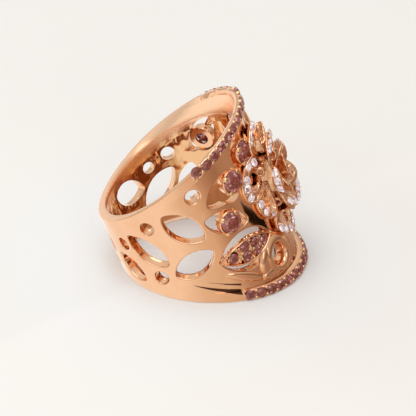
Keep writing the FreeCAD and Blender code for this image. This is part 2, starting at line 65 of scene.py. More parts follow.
class Socket:
    """A shader value; maths on it adds the nodes."""

    def __init__(self, shader, link):
        self.shader = shader
        self.link = link

    def math(self, operation, *others):
        return self.shader.node("ShaderNodeMath", {"operation": operation}, self, *others)

    def __add__(self, other):
        return self.math("ADD", other)

    def __sub__(self, other):
        return self.math("SUBTRACT", other)

    def __mul__(self, other):
        return self.math("MULTIPLY", other)

    def __pow__(self, other):
        return self.math("POWER", other)

    def __rsub__(self, other):
        return self.shader.node("ShaderNodeMath", {"operation": "SUBTRACT"}, other, self)

    def limit(self):
        return self.shader.node("ShaderNodeClamp", None, self, 0.0, 1.0)

    __radd__ = __add__
    __rmul__ = __mul__


class Shader:
    """The node tree of one material, or of the world."""

    def __init__(self, owner):
        owner.use_nodes = True
        self.tree = owner.node_tree
        self.tree.nodes.clear()

    def node(self, kind, settings=None, *values, output=0, **named):
        """A node of a kind: its settings first, then its sockets' values or links, in order or by name."""
        made = self.tree.nodes.new(kind)
        for key, value in (settings or {}).items():
            if key == "stops":
                self.set_ramp(made.color_ramp, value)
            else:
                setattr(made, key, value)
        for key, value in list(enumerate(values)) + list(named.items()):
            socket = made.inputs[key] if isinstance(key, int) else made.inputs[key.replace("_", " ")]
            if isinstance(value, Socket):
                self.tree.links.new(value.link, socket)
            elif value is not None:
                socket.default_value = value
        return Socket(self, made.outputs[output]) if len(made.outputs) else made

    def set_ramp(self, ramp, stops):
        while len(ramp.elements) < len(stops):
            ramp.elements.new(1.0)
        for element, (place, colour) in zip(ramp.elements, stops):
            element.position = place
            element.color = (*colour, 1)

    def millimetres(self, scale=(1, 1, 1)):
        """Object coordinates in millimetres, stretched by a scale."""
        place = self.node("ShaderNodeTexCoord", output=3)
        return self.node("ShaderNodeMapping", None, Vector=place, Scale=[part / MM for part in scale])

    def noise(self, vector, scale, detail=2.0, roughness=0.5):
        return self.node("ShaderNodeTexNoise", None, Vector=vector, Scale=scale, Detail=detail,
                         Roughness=roughness)

    def dot(self, first, second):
        return self.node("ShaderNodeVectorMath", {"operation": "DOT_PRODUCT"}, first, second, output=1)

    def mix(self, factor, first, second, blend="MIX"):
        """A colour between two colours."""
        mixed = self.node("ShaderNodeMix", {"data_type": "RGBA", "blend_type": blend}, output=2)
        node = mixed.link.node
        for socket, value in ((node.inputs[0], factor), (node.inputs[6], first), (node.inputs[7], second)):
            if isinstance(value, Socket):
                self.tree.links.new(value.link, socket)
            else:
                socket.default_value = value if isinstance(value, (int, float)) else (*value, 1)
        return mixed


table_drop = 0.04 * MM


def plain_floor():
    """The pale table, a hair below the ring; its tone makes up for the warm glow of the gold near by."""
    material = bpy.data.materials.new("pale table")
    shader = Shader(material)
    grain = shader.noise(shader.millimetres(), 0.02)
    tone = shader.mix(grain, (0.845, 0.845, 0.83), (0.875, 0.875, 0.86))
    distance = shader.node("ShaderNodeVectorMath", {"operation": "LENGTH"}, shader.millimetres(), output=1)
    tone = shader.mix((1.0 - distance * 0.036).limit(), tone, (0.86, 0.93, 0.985))
    surface = shader.node("ShaderNodeBsdfPrincipled", None, Base_Color=tone, Roughness=0.85)
    shader.node("ShaderNodeOutputMaterial", None, surface)
    bpy.ops.object.select_all(action="DESELECT")
    bpy.ops.mesh.primitive_plane_add(size=3, location=(0, 0, cad_box[0][2] - table_drop))
    floor = bpy.context.object
    floor.name = "table"
    floor.data.materials.append(material)


def darker_right(shader, direction, stops):
    """Tones by how far a level direction turns to the right of the ring, where the room is darker."""
    level = shader.node("ShaderNodeVectorMath", {"operation": "MULTIPLY"}, direction, (1, 1, 0))
    level = shader.node("ShaderNodeVectorMath", {"operation": "NORMALIZE"}, level)
    return shader.node("ShaderNodeValToRGB", {"stops": stops}, shader.dot(level, (0.996, -0.087, 0)))


def tent():
    """The world: white overhead, dimmer towards the horizon and to the right."""
    world = bpy.data.worlds.new("light tent")
    bpy.context.scene.world = world
    shader = Shader(world)
    direction = shader.node("ShaderNodeTexCoord", output=0)
    height = shader.node("ShaderNodeSeparateXYZ", None, direction, output=2)
    overhead = shader.node("ShaderNodeValToRGB", {"stops": [
        (0.0, (0.62, 0.60, 0.58)), (0.30, (0.80, 0.78, 0.76)),
        (0.6, (0.95, 0.93, 0.91)), (1.0, (1.0, 0.985, 0.965)),
    ]}, height)
    aside = darker_right(shader, direction, [
        (0.0, (1.0, 1.0, 1.0)), (0.45, (0.80, 0.74, 0.68)),
        (0.8, (0.52, 0.40, 0.33)), (1.0, (0.40, 0.29, 0.23)),
    ])
    colour = shader.mix((1.15 - height).limit(), overhead, shader.mix(1.0, overhead, aside, "MULTIPLY"))
    background = shader.node("ShaderNodeBackground", None, colour, 0.93)
    shader.node("ShaderNodeOutputWorld", None, background)


def hide_from_room(item):
    """Leaves a card to be seen in the polished metal and stones alone."""
    item.visible_camera = False
    item.visible_diffuse = False
    item.visible_shadow = False


def shaded_table():
    """The table as the polished metal sees it: bright to the left, in the room's shade to the right."""
    material = bpy.data.materials.new("table in the metal")
    shader = Shader(material)
    place = shader.node("ShaderNodeTexCoord", output=3)
    tone = darker_right(shader, place, [
        (0.0, (0.99, 0.985, 0.97)), (0.33, (0.80, 0.74, 0.66)), (0.6, (0.74, 0.64, 0.54)),
        (0.8, (0.50, 0.36, 0.28)), (0.95, (0.37, 0.25, 0.19)), (1.0, (0.44, 0.31, 0.24)),
    ])
    surface = shader.node("ShaderNodeEmission", None, tone, 1.08)
    shader.node("ShaderNodeOutputMaterial", None, surface)
    bpy.ops.object.select_all(action="DESELECT")
    bpy.ops.mesh.primitive_plane_add(size=3, location=(0, 0, cad_box[0][2] - table_drop / 2))
    item = bpy.context.object
    item.name = "table in the metal"
    item.data.materials.append(material)
    hide_from_room(item)


def lamp(name, place, aim, size, energy, colour):
    """A rectangular softbox that points at a spot."""
    data = bpy.data.lights.new(name, "AREA")
    data.shape = "RECTANGLE"
    data.size, data.size_y = size
    data.energy = energy
    data.color = colour
    item = bpy.data.objects.new(name, data)
    item.location = place
    item.rotation_euler = (Vector(aim) - Vector(place)).to_track_quat("-Z", "Y").to_euler()
    bpy.context.scene.collection.objects.link(item)


def card(name, centre, aim, size, colour, lean):
    """A card on a stand that only the polished metal sees, its long side leant by an angle."""
    material = bpy.data.materials.new(name)
    shader = Shader(material)
    surface = shader.node("ShaderNodeEmission", None, (*colour, 1), 1.0)
    shader.node("ShaderNodeOutputMaterial", None, surface)
    bpy.ops.object.select_all(action="DESELECT")
    facing = (Vector(aim) - Vector(centre)).to_track_quat("Z", "Y") @ Euler((0, 0, lean)).to_quaternion()
    bpy.ops.mesh.primitive_plane_add(size=1, location=centre, rotation=facing.to_euler())
    item = bpy.context.object
    item.name = name
    item.scale = (*size, 1)
    item.data.materials.append(material)
    hide_from_room(item)


plain_floor()
shaded_table()
tent()
card("dark bar", (0.0372, -0.001, -0.0024), (0, -0.001, 0.001), (0.0150, 0.0028),
     (0.012, 0.006, 0.004), math.radians(13))
lamp("overhead softbox", (-0.10, -0.06, 0.42), (0, 0, 0), (0.34, 0.28), 0.55, (1, 0.98, 0.95))
lamp("front softbox", (0.16, -0.34, 0.22), (0, 0, 0), (0.16, 0.2), 0.12, (1, 0.98, 0.96))

# ---- Rose gold
# Everything but the stones is 18 carat rose gold: cast, filed and polished to a soft mirror, with the
# slight waviness and hairlines that hand polishing leaves.

tilt = math.radians(20.7)
half_width, band_radius, bore_radius = 7.28, 9.8, 8.6


def along_finger(shader):
    """Millimetres in the ring's own frame, z along the finger: three values."""
    place = shader.node("ShaderNodeVectorRotate", {"rotation_type": "AXIS_ANGLE"},
                        shader.millimetres(), Axis=(0, 1, 0), Angle=tilt)
    parts = shader.node("ShaderNodeSeparateXYZ", None, place).link.node
    return [Socket(shader, output) for output in parts.outputs]


def inside_ring(shader):
    """1 on the wall against the finger and on the upper mouth's flare, 0 on the outside."""
    x, y, z = along_finger(shader)
    below_rim = x * math.tan(tilt) - z + half_width
    flare = (1.0 - below_rim.math("DIVIDE", x * 0.15 + 1.9)).limit()
    shifted = x - flare * 0.45
    distance = (shifted * shifted + y * y) ** 0.5
    return ((flare * 0.6 + (bore_radius + 0.35) - distance) * 4.0).limit()


def carved_grooves_and_shade(shader):
    """1 in the two tapering grooves cut beside the start of the lower rail: the mask cuts them into the bump
    and paints shade in them.
    """
    x, y, z = along_finger(shader)
    turn = y.math("ARCTAN2", x)
    height = z + math.tan(tilt) * x + half_width
    grooves_and_shade = 0.0
    for start, run, low, drop, thick in [(-93.0, 28.0, 2.47, 1.25, 0.36), (-84.0, 21.0, 2.95, 0.80, 0.16)]:
        share = (turn - math.radians(start)) * (1 / math.radians(run))
        line = thick * share.limit() ** 0.6 - (height - (low - drop * share)).math("ABSOLUTE")
        grooves_and_shade = (line * 14.0).limit() * ((1.04 - share) * 30.0).limit() + grooves_and_shade
    return grooves_and_shade


def rose_foot_shade(shader):
    """1 at the foot of the flower, 0 at its top: the mask of the painted shade deep in the flower."""
    height = shader.dot(shader.millimetres(), (math.cos(tilt), 0, math.sin(tilt)))
    return ((11.9 - height) * 0.8).limit()


def rose_gold(name, roughness=0.04, waviness=0.12, deep=(0.84, 0.475, 0.27), bright=(0.90, 0.54, 0.335),
              inner=0.0, folds_and_depth_shade=0.0, grain=0.8):
    """Polished gold. inner adds the uneven cast wall inside the band and the cut grooves outside it, with
    painted shade over the inside, a painted lighter tone on its smooth upper wall and flare, a painted shadow
    low on the inside wall and painted shade in the grooves. The argument after it adds folds, with painted
    shade on them, and painted shade at the foot of the flower."""
    material = bpy.data.materials.new(name)
    shader = Shader(material)
    place = shader.millimetres()
    cloud = shader.noise(place, 0.45, 3.0)
    hairs = shader.noise(shader.millimetres((0.6, 0.6, 7.0)), 2.6, 4.0, 0.7)
    speckle = shader.noise(place, 9.0, 2.0)
    tone = shader.mix((cloud * 1.8 - 0.4).limit(), deep, bright)
    rough = roughness + 0.03 * cloud + 0.03 * hairs + 0.02 * speckle
    swell = shader.noise(place, grain, 1.0) * waviness + hairs * 0.012 + speckle * 0.008
    if inner:
        within = inside_ring(shader)
        cast = shader.noise(shader.millimetres((1.0, 1.0, 0.7)), 0.55, 1.5, 0.5) * inner
        grooves_and_shade = carved_grooves_and_shade(shader)
        x, _, z = along_finger(shader)
        uneven = (x * 0.27 - z + 5.7).limit()
        swell = swell + within * uneven * cast - grooves_and_shade * 3.0
        rough = rough + within * (1.0 - uneven) * 0.19
        # Painted shade: the whole inside of the band is tinted a darker brown.
        tone = shader.mix(within * 0.85, tone, (0.82, 0.49, 0.25))
        # Painted light: the smooth upper part of the inside wall and the flare of the upper mouth are a
        # lighter gold.
        tone = shader.mix(within * (1.0 - uneven), tone, (0.97, 0.635, 0.415))
        # Painted shadow: the inside wall turns dark brown below the middle of the band, towards the lower
        # rim.
        tone = shader.mix(within * ((z + 1.0) * -0.5).limit() * 0.9, tone, (0.34, 0.10, 0.03))
        # Painted shade: the two grooves are near black.
        tone = shader.mix(grooves_and_shade, tone, (0.085, 0.032, 0.016))
    if folds_and_depth_shade:
        folds = shader.noise(shader.millimetres((2.6, 2.6, 0.7)), 1.0, 2.0)
        swell = swell + folds * 11.0
        # Painted shade in the folds: a darker brown where the fold noise is high.
        tone = shader.mix(((folds - 0.48) * 5.0).limit() * 0.4, tone, (0.50, 0.225, 0.105))
        # Painted shade: the flower's gold darkens towards its foot.
        tone = shader.mix(rose_foot_shade(shader) * folds_and_depth_shade, tone, (0.56, 0.30, 0.155))
    bump = shader.node("ShaderNodeBump", None, Strength=0.35, Distance=0.05 * MM, Height=swell)
    surface = shader.node("ShaderNodeBsdfPrincipled", None, Base_Color=tone, Metallic=1.0, Roughness=rough,
                          Normal=bump)
    shader.node("ShaderNodeOutputMaterial", None, surface)
    return material


polished_gold = rose_gold("polished rose gold")
setting_gold = rose_gold("bright-cut rose gold", 0.05, 0.1)
band_gold = rose_gold("rose gold of the band", inner=12.0)


def dress(node, material):
    """Gives a built piece its finish."""
    item = frame["nodes"][node]
    item.data.materials.clear()
    item.data.materials.append(material)


for name in frame["nodes"]:
    if "stone" not in name:
        dress(name, polished_gold)
for name in ("upper_rail_inlay", "lower_rail_inlay", "leaf_plate"):
    dress(name, setting_gold)
dress("band", band_gold)

# ---- Brilliant-cut stones
# Round brilliants: a flat table, kite and star facets on the crown, a thin girdle and a pointed
# pavilion. Brown and mauve ones on the rails, leaf and collets, pinkish white ones on the petals.


def deselect():
    if bpy.context.object and bpy.context.object.mode != "OBJECT":
        bpy.ops.object.mode_set(mode="OBJECT")
    bpy.ops.object.select_all(action="DESELECT")


def cut_facets(count, turn, point, slope):
    """Grinds a ring of facets: planes through a point at (radius, height), sloping by an angle."""
    for k in range(count):
        angle = 2 * math.pi * (k + turn) / count
        out = Vector((math.cos(angle), math.sin(angle), 0))
        normal = out * math.sin(slope) + Vector((0, 0, math.cos(slope)))
        bpy.ops.mesh.select_all(action="SELECT")
        bpy.ops.mesh.bisect(plane_co=out * point[0] + Vector((0, 0, point[1])), plane_no=normal,
                            use_fill=True, clear_outer=True)


def brilliant(name):
    """A brilliant of diameter 1 with its girdle at height 0; each copy gets random facet tones when it is
    set.
    """
    deselect()
    bpy.ops.mesh.primitive_cylinder_add(vertices=32, radius=0.5, depth=1.0)
    stone = bpy.context.object
    stone.name = name
    bpy.ops.object.mode_set(mode="EDIT")
    crown, star, upper = math.radians(34), math.radians(22), math.radians(41)
    pavilion, lower = math.radians(180 - 41), math.radians(180 - 43)
    cut_facets(8, 0, (0.5, 0.015), crown)
    cut_facets(16, 0.5, (0.5, 0.012), upper)
    cut_facets(8, 0.5, (0.33, 0.128), star)
    cut_facets(8, 0, (0.5, -0.015), pavilion)
    cut_facets(16, 0.5, (0.5, -0.012), lower)
    bpy.ops.mesh.select_all(action="SELECT")
    bpy.ops.mesh.bisect(plane_co=(0, 0, 0.155), plane_no=(0, 0, 1), use_fill=True, clear_outer=True)
    bpy.ops.mesh.select_all(action="SELECT")
    bpy.ops.mesh.normals_make_consistent(inside=False)
    bpy.ops.object.mode_set(mode="OBJECT")
    return stone


pattern = brilliant("brilliant pattern")


def stone_seats(node):
    """The place and diameter of each stone in a node: x along the band, z out of the table."""
    shape = bmesh.new()
    shape.from_mesh(frame["nodes"][node].data)
    bmesh.ops.remove_doubles(shape, verts=shape.verts, dist=MM / 1000)
    seen, seats = set(), []
    for start in shape.verts:
        if start in seen:
            continue
        group, edge = [start], 0
        seen.add(start)
        while edge < len(group):
            for link in group[edge].link_edges:
                other = link.other_vert(group[edge])
                if other not in seen:
                    seen.add(other)
                    group.append(other)
            edge += 1
        flats = []
        for face in {face for vert in group for face in vert.link_faces}:
            same = next((flat for flat in flats if flat.normalized().dot(face.normal) > 0.9995), None)
            if same:
                same += face.normal * face.calc_area()
            else:
                flats.append(face.normal * face.calc_area())
        outward = max(flats, key=lambda flat: flat.length).normalized()
        centre = sum((vert.co for vert in group), Vector()) / len(group)
        distances = [((vert.co - centre).cross(outward).length, vert) for vert in group]
        radius = max(distance for distance, vert in distances)
        girdle = [vert.co for distance, vert in distances if distance > 0.97 * radius]
        seats.append((sum(girdle, Vector()) / len(girdle), outward, 2 * radius))
    shape.free()
    return seats


finger_axis = Vector(next(mount["axis"] for mount in frame["record"]["mounts"]
                          if mount["name"] == "finger_hole"))


def facing(centre, outward):
    """The place of something set in metal: z outward, x along the band's run."""
    along = finger_axis.cross(outward).normalized()
    across = outward.cross(along)
    place = Matrix((along, across, outward)).transposed().to_4x4()
    place.translation = centre
    return place


def set_stones(name, seats, node, material, proud, swell):
    """Brilliants in the seats of a node, joined as one piece that stands for it."""
    copies = []
    for number, (centre, outward, diameter) in enumerate(seats):
        copy = bpy.data.objects.new(name, pattern.data.copy())
        bpy.context.scene.collection.objects.link(copy)
        spin = Matrix.Rotation(math.radians(37.0 * number), 4, "Z")
        place = facing(centre + outward * proud * MM, outward) @ spin @ Matrix.Scale(diameter * swell, 4)
        copy.data.transform(place)
        random = np.random.default_rng(len(node) * 100 + number)
        middles = [face.center for face in pattern.data.polygons]
        sectors = np.array([math.floor(4 * math.atan2(middle.y, middle.x) / math.pi + number % 3) % 2
                            for middle in middles])
        tones = copy.data.attributes.new("facet", "FLOAT", "FACE")
        shades = 0.55 * random.random(len(middles)) + 0.45 * sectors
        tones.data.foreach_set("value", shades.astype(np.float32))
        hue = copy.data.attributes.new("stone", "FLOAT", "FACE")
        below = np.array([middle.z < -0.05 for middle in middles])
        hue.data.foreach_set("value", np.where(below, 2.2, random.random()).astype(np.float32))
        copies.append(copy)
    deselect()
    for copy in copies:
        copy.select_set(True)
    bpy.context.view_layer.objects.active = copies[0]
    if len(copies) > 1:
        bpy.ops.object.join()
    piece = bpy.context.view_layer.objects.active
    piece.name = name
    piece.data.materials.clear()
    piece.data.materials.append(material)
    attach(piece, "root")
    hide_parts(node)
    return piece


def gem(name, stops, tint, sparkle):
    """A cut stone: each facet has its own tone, as the facets under it throw back light or dark."""
    material = bpy.data.materials.new(name)
    shader = Shader(material)
    facet = shader.node("ShaderNodeAttribute", {"attribute_name": "facet"}, output=2)
    stone = shader.node("ShaderNodeAttribute", {"attribute_name": "stone"}, output=2)
    flecks = shader.node("ShaderNodeTexVoronoi", None, Vector=shader.millimetres(), Scale=4.2, output=1)
    fleck = shader.node("ShaderNodeSeparateColor", None, flecks)
    share = 0.56 * facet + 0.44 * fleck
    tone = shader.node("ShaderNodeValToRGB", {"stops": stops}, share)
    tinted = shader.mix(stone * 0.45, tone, tint)
    glint = shader.mix(((share - 0.72) * 9.0).limit(), (0, 0, 0), sparkle)
    surface = shader.node("ShaderNodeBsdfPrincipled", None, Base_Color=tinted, Roughness=0.05, IOR=1.8,
                          Emission_Color=glint, Emission_Strength=1.0)
    shader.node("ShaderNodeOutputMaterial", None, surface)
    return material


brown_gem = gem("brown diamond", [
    (0.0, (0.025, 0.003, 0.002)), (0.25, (0.11, 0.015, 0.009)), (0.45, (0.25, 0.045, 0.032)),
    (0.62, (0.38, 0.095, 0.08)), (0.80, (0.55, 0.24, 0.25)), (0.95, (0.78, 0.55, 0.60)),
], (0.24, 0.048, 0.024), (0.24, 0.12, 0.12))
large_brown_gem = gem("large brown diamond", [
    (0.0, (0.030, 0.004, 0.003)), (0.22, (0.12, 0.018, 0.010)), (0.42, (0.30, 0.055, 0.036)),
    (0.58, (0.44, 0.11, 0.09)), (0.74, (0.56, 0.25, 0.26)), (0.90, (0.78, 0.56, 0.62)),
], (0.28, 0.050, 0.030), (0.24, 0.12, 0.12))
white_gem = gem("pinkish white diamond", [
    (0.0, (0.16, 0.05, 0.04)), (0.22, (0.45, 0.26, 0.26)), (0.38, (0.84, 0.70, 0.76)),
    (0.6, (1.0, 0.93, 0.97)), (1.0, (1.0, 1.0, 1.0)),
], (0.90, 0.76, 0.84), (0.60, 0.57, 0.60))

for node in sorted(frame["nodes"]):
    if "stone" in node and "petal" not in node:
        small = "brown_stone" not in node
        set_stones(node + "_cut", stone_seats(node), node,
                   brown_gem if small else large_brown_gem, 0.03, 1.10 if small else 1.0)

# ---- Claws, collets and beads
# Each large stone stands in a round collet with a coned seat, and four claws bend over its girdle.
# Small stones are held by beads raised from the metal, brightened with a hollow tool; beads and claws are
# painted a lighter, yellower gold as a painted highlight.


def turned(name, sides, start, rings, hollow=False):
    """A form built up ring by ring: (half length, half width, height, shift along x) of each ring."""
    deselect()
    bpy.ops.mesh.primitive_circle_add(vertices=sides, radius=1, fill_type="NGON", location=(0, 0, 0))
    piece = bpy.context.object
    piece.name = name
    bpy.ops.object.mode_set(mode="EDIT")
    bpy.ops.mesh.select_all(action="SELECT")
    length, width, height, shift = start
    bpy.ops.transform.resize(value=(length, width, 1), center_override=(0, 0, 0))
    bpy.ops.transform.translate(value=(shift, 0, height))
    for ring in rings:
        bpy.ops.mesh.extrude_region_move(
            TRANSFORM_OT_translate={"value": (ring[3] - shift, 0, ring[2] - height)})
        bpy.ops.transform.resize(value=(ring[0] / length, ring[1] / width, 1),
                                 center_override=(ring[3], 0, ring[2]))
        length, width, height, shift = ring
    if hollow:
        bpy.ops.mesh.delete(type="ONLY_FACE")
        bpy.ops.object.mode_set(mode="OBJECT")
        caps = [len(face.vertices) == sides for face in piece.data.polygons]
        piece.data.polygons.foreach_set("select", caps)
        bpy.ops.object.mode_set(mode="EDIT")
        bpy.ops.mesh.select_mode(type="FACE")
        bpy.ops.mesh.delete(type="ONLY_FACE")
        bpy.ops.mesh.select_mode(type="VERT")
        bpy.ops.mesh.select_all(action="SELECT")
        bpy.ops.mesh.remove_doubles(threshold=1e-5)
    bpy.ops.mesh.select_all(action="SELECT")
    bpy.ops.mesh.normals_make_consistent(inside=False)
    bpy.ops.object.mode_set(mode="OBJECT")
    return piece


def round_rings(rings):
    return [(radius, radius, height, 0.0) for radius, height in rings]


def use(piece, kind, **settings):
    """Adds a modifier and applies it."""
    deselect()
    piece.select_set(True)
    bpy.context.view_layer.objects.active = piece
    modifier = piece.modifiers.new("step", kind)
    for key, value in settings.items():
        setattr(modifier, key, value)
    bpy.ops.object.modifier_apply(modifier=modifier.name)


def copies_at(pattern_piece, places):
    """Copies of a form at several places, in a list."""
    made = []
    for place in places:
        copy = bpy.data.objects.new(pattern_piece.name, pattern_piece.data.copy())
        bpy.context.scene.collection.objects.link(copy)
        copy.data.transform(place)
        made.append(copy)
    return made


def joined(name, parts, smooth=40):
    """Several forms as one smooth piece, each of its own material."""
    deselect()
    for part in parts:
        part.select_set(True)
    bpy.context.view_layer.objects.active = parts[0]
    if len(parts) > 1:
        bpy.ops.object.join()
    piece = bpy.context.view_layer.objects.active
    piece.name = name
    bpy.ops.object.shade_smooth_by_angle(angle=math.radians(smooth))
    return piece


def fitted(piece, *nodes):
    """The finished piece rides on the ring and stands for its nodes."""
    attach(piece, "root")
    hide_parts(*nodes)


def moved(x, y, z, turn=0.0):
    return Matrix.Translation((x, y, z)) @ Matrix.Rotation(math.radians(turn), 4, "Z")


def bead_places(seats, size, spread, ground):
    """Two places between neighbouring stones, one at either side of the row, where metal lies under them."""
    neighbours, own_room, reach = 1.62, 0.54, 0.2 * MM
    places = []
    for number, (centre, outward, diameter) in enumerate(seats):
        for other, other_outward, _ in seats[:number]:
            if (centre - other).length < neighbours * diameter:
                up = (outward + other_outward).normalized()
                across = up.cross((centre - other).normalized()).normalized()
                for side in (-1, 1):
                    spot = (centre + other) / 2 + across * side * spread * diameter
                    nearest = ground.closest_point_on_mesh(spot)[1]
                    clear = all((spot - seat[0]).length > own_room * diameter for seat in seats)
                    if clear and (nearest - spot).length < reach:
                        places.append(facing(spot, up) @ Matrix.Scale(size * MM, 4))
    return places


bead_rings = round_rings([
    (0.95, -1.2), (1.0, -0.2), (0.96, 0.30), (0.78, 0.68), (0.50, 0.86), (0.30, 0.80), (0.12, 0.72),
])
bead = turned("bead", 12, bead_rings[0], bead_rings[1:])
use(bead, "SUBSURF", levels=1)
# Painted highlight: claws and beads get a lighter, yellower gold than the rest of the metal.
claw_gold_painted_bright = rose_gold("claw gold with painted highlight", 0.06, 0.1, (0.90, 0.56, 0.31), (0.95, 0.66, 0.40))
bead.data.materials.append(claw_gold_painted_bright)


def merged_copy(node):
    """A copy of a built piece, with the vertices of its faces merged."""
    copy = bpy.data.objects.new(node + " copy", frame["nodes"][node].data.copy())
    bpy.context.scene.collection.objects.link(copy)
    deselect()
    copy.select_set(True)
    bpy.context.view_layer.objects.active = copy
    bpy.ops.object.mode_set(mode="EDIT")
    bpy.ops.mesh.select_all(action="SELECT")
    bpy.ops.mesh.remove_doubles(threshold=1e-7)
    bpy.ops.object.mode_set(mode="OBJECT")
    return copy


bezel_rings = round_rings([
    (0.75, -1.0), (1.38, -1.0), (1.47, -0.9), (1.49, -0.1), (1.47, 0.06), (1.40, 0.13), (1.31, 0.10),
    (1.22, -0.12), (0.80, -0.62), (0.75, -0.75), (0.75, -1.0),
])
bezel = turned("bezel", 48, bezel_rings[0], bezel_rings[1:], hollow=True)
claw_rings = [
    (0.20, 0.24, -0.5, 0.0), (0.22, 0.27, 0.0, 0.0), (0.23, 0.29, 0.16, -0.02),
    (0.24, 0.30, 0.30, -0.07), (0.23, 0.29, 0.42, -0.15), (0.18, 0.24, 0.48, -0.23),
    (0.11, 0.14, 0.50, -0.30), (0.04, 0.05, 0.46, -0.31),
]
claw = turned("claw", 14, claw_rings[0], claw_rings[1:])
use(claw, "SUBSURF", levels=1)
claw.data.materials.append(claw_gold_painted_bright)
bezel.data.materials.append(polished_gold)
for node in sorted(frame["nodes"]):
    if "brown_stone" not in node:
        continue
    centre, outward, diameter = stone_seats(node)[0]
    seat = facing(centre - outward * 0.1 * MM, outward)
    claw_circle = 1.43
    turns = [moved(0, 0, 0, 45 + 90 * k) @ moved(claw_circle, 0, 0) for k in range(4)]
    parts = copies_at(bezel, [Matrix()]) + copies_at(claw, turns)
    piece = joined(node.replace("brown_stone", "setting"), parts)
    piece.data.transform(seat @ Matrix.Scale(MM, 4))
    fitted(piece, node.replace("brown_stone", "collet"))
bpy.data.objects.remove(bezel)
bpy.data.objects.remove(claw)

for side in ("upper_rail", "lower_rail"):
    inlay = merged_copy(side + "_inlay")
    beads = copies_at(bead, bead_places(stone_seats(side + "_stones"), 0.25, 0.36, inlay))
    fitted(joined(side + "_pave", [inlay] + beads, 35), side + "_inlay")

# ---- Leaf plate and eyelets
# The stone-set leaf has a fine raised border. At each side of the head a thick loop rises round a hole,
# and its stems run out over the band like roots, to the leaf, the rail and under the flower.


def in_edit(piece, *steps):
    """Edit-mode steps on a whole piece: each a bpy operator and its settings."""
    deselect()
    piece.select_set(True)
    bpy.context.view_layer.objects.active = piece
    bpy.ops.object.mode_set(mode="EDIT")
    bpy.ops.mesh.select_all(action="SELECT")
    for step, settings in steps:
        step(**settings)
    bpy.ops.object.mode_set(mode="OBJECT")


def turn_step(degrees, axis):
    return bpy.ops.transform.rotate, {
        "value": -math.radians(degrees), "orient_axis": axis, "center_override": (0, 0, 0)}


def stretch_step(x, y, z):
    return bpy.ops.transform.resize, {"value": (x, y, z), "center_override": (0, 0, 0)}


def shift_step(x, y, z):
    return bpy.ops.transform.translate, {"value": (x, y, z)}


def band_place(angle, share, lean=0.0, radius=band_radius):
    """A place on the band: x round the finger, y along its axis, z outward, in millimetres."""
    turn = math.radians(angle)
    side, front = math.sin(turn), math.cos(turn)
    height = share * (half_width + math.tan(tilt) * band_radius * front)
    place = Matrix(((-side, 0, front, radius * front), (front, 0, side, radius * side),
                    (0, 1, 0, height), (0, 0, 0, 1)))
    return Matrix.Rotation(-tilt, 4, "Y") @ place @ Matrix.Rotation(math.radians(lean), 4, "Z")


def wrapped(piece, radius):
    """Bends a flat form over the round of the band."""
    in_edit(piece, turn_step(90, "X"))
    use(piece, "SIMPLE_DEFORM", deform_method="BEND", deform_axis="Z", angle=piece.dimensions.x / radius)
    in_edit(piece, turn_step(-90, "X"))


def loop_ring(name):
    """The thick round loop about a hole that goes through the band."""
    hole = (1.06, 1.14, -1.1, 0.0)
    piece = turned(name, 40, hole, [
        (1.40, 1.40, -1.1, 0.0), (1.42, 1.42, -0.60, 0.0), (2.50, 2.60, -0.55, 0.2), (2.55, 2.70, -0.25, 0.2),
        (2.36, 2.52, 0.06, 0.15), (2.04, 2.20, 0.36, 0.1), (1.72, 1.84, 0.53, 0.0), (1.46, 1.56, 0.52, 0.0),
        (1.27, 1.35, 0.34, 0.0), (1.13, 1.22, 0.0, 0.0), (1.06, 1.14, -0.5, 0.0), hole,
    ], hollow=True)
    use(piece, "SUBSURF", levels=1)
    return piece


def stem(name, length, width, height, curl):
    """A long rounded ridge that sinks into the band at its ends, curled in its plane."""
    rings = [(length * long, width * wide, level, 0.0) for long, wide, level in (
        (0.6, 0.6, -0.4), (1.0, 1.0, -0.3), (0.98, 0.98, 0.0), (0.88, 0.86, height * 0.55),
        (0.72, 0.62, height * 0.88), (0.5, 0.3, height))]
    piece = turned(name, 28, rings[0], rings[1:])
    use(piece, "SUBSURF", levels=1)
    use(piece, "SIMPLE_DEFORM", deform_method="BEND", deform_axis="Z", angle=math.radians(curl))
    wrapped(piece, band_radius)
    return piece


for side, node in ((1, "left_eyelet"), (-1, "right_eyelet")):
    half_turn = 0 if side > 0 else 180
    parts = []
    loop = loop_ring(node + "_loop")
    loop.data.transform(band_place(-28.0 * side, -0.62 * side, 12 + half_turn))
    parts.append(loop)
    for angle, share, lean, size in [
        (-39.5, -0.60, 62, (1.9, 0.95, 0.50, 16)), (-38.5, -0.775, -14, (1.6, 0.80, 0.42, -30)),
        (-57.0, -0.675, -36, (2.9, 0.62, 0.26, -12)), (-15.0, -0.54, -54, (2.7, 0.85, 0.42, -38)),
    ]:
        ridge = stem(node + "_stem", *size)
        ridge.data.transform(band_place(angle * side, share * side, lean + half_turn))
        parts.append(ridge)
    piece = joined(node + "_form", parts, 60)
    piece.data.transform(Matrix.Scale(MM, 4))
    piece.data.materials.append(polished_gold)
    fitted(piece, node)

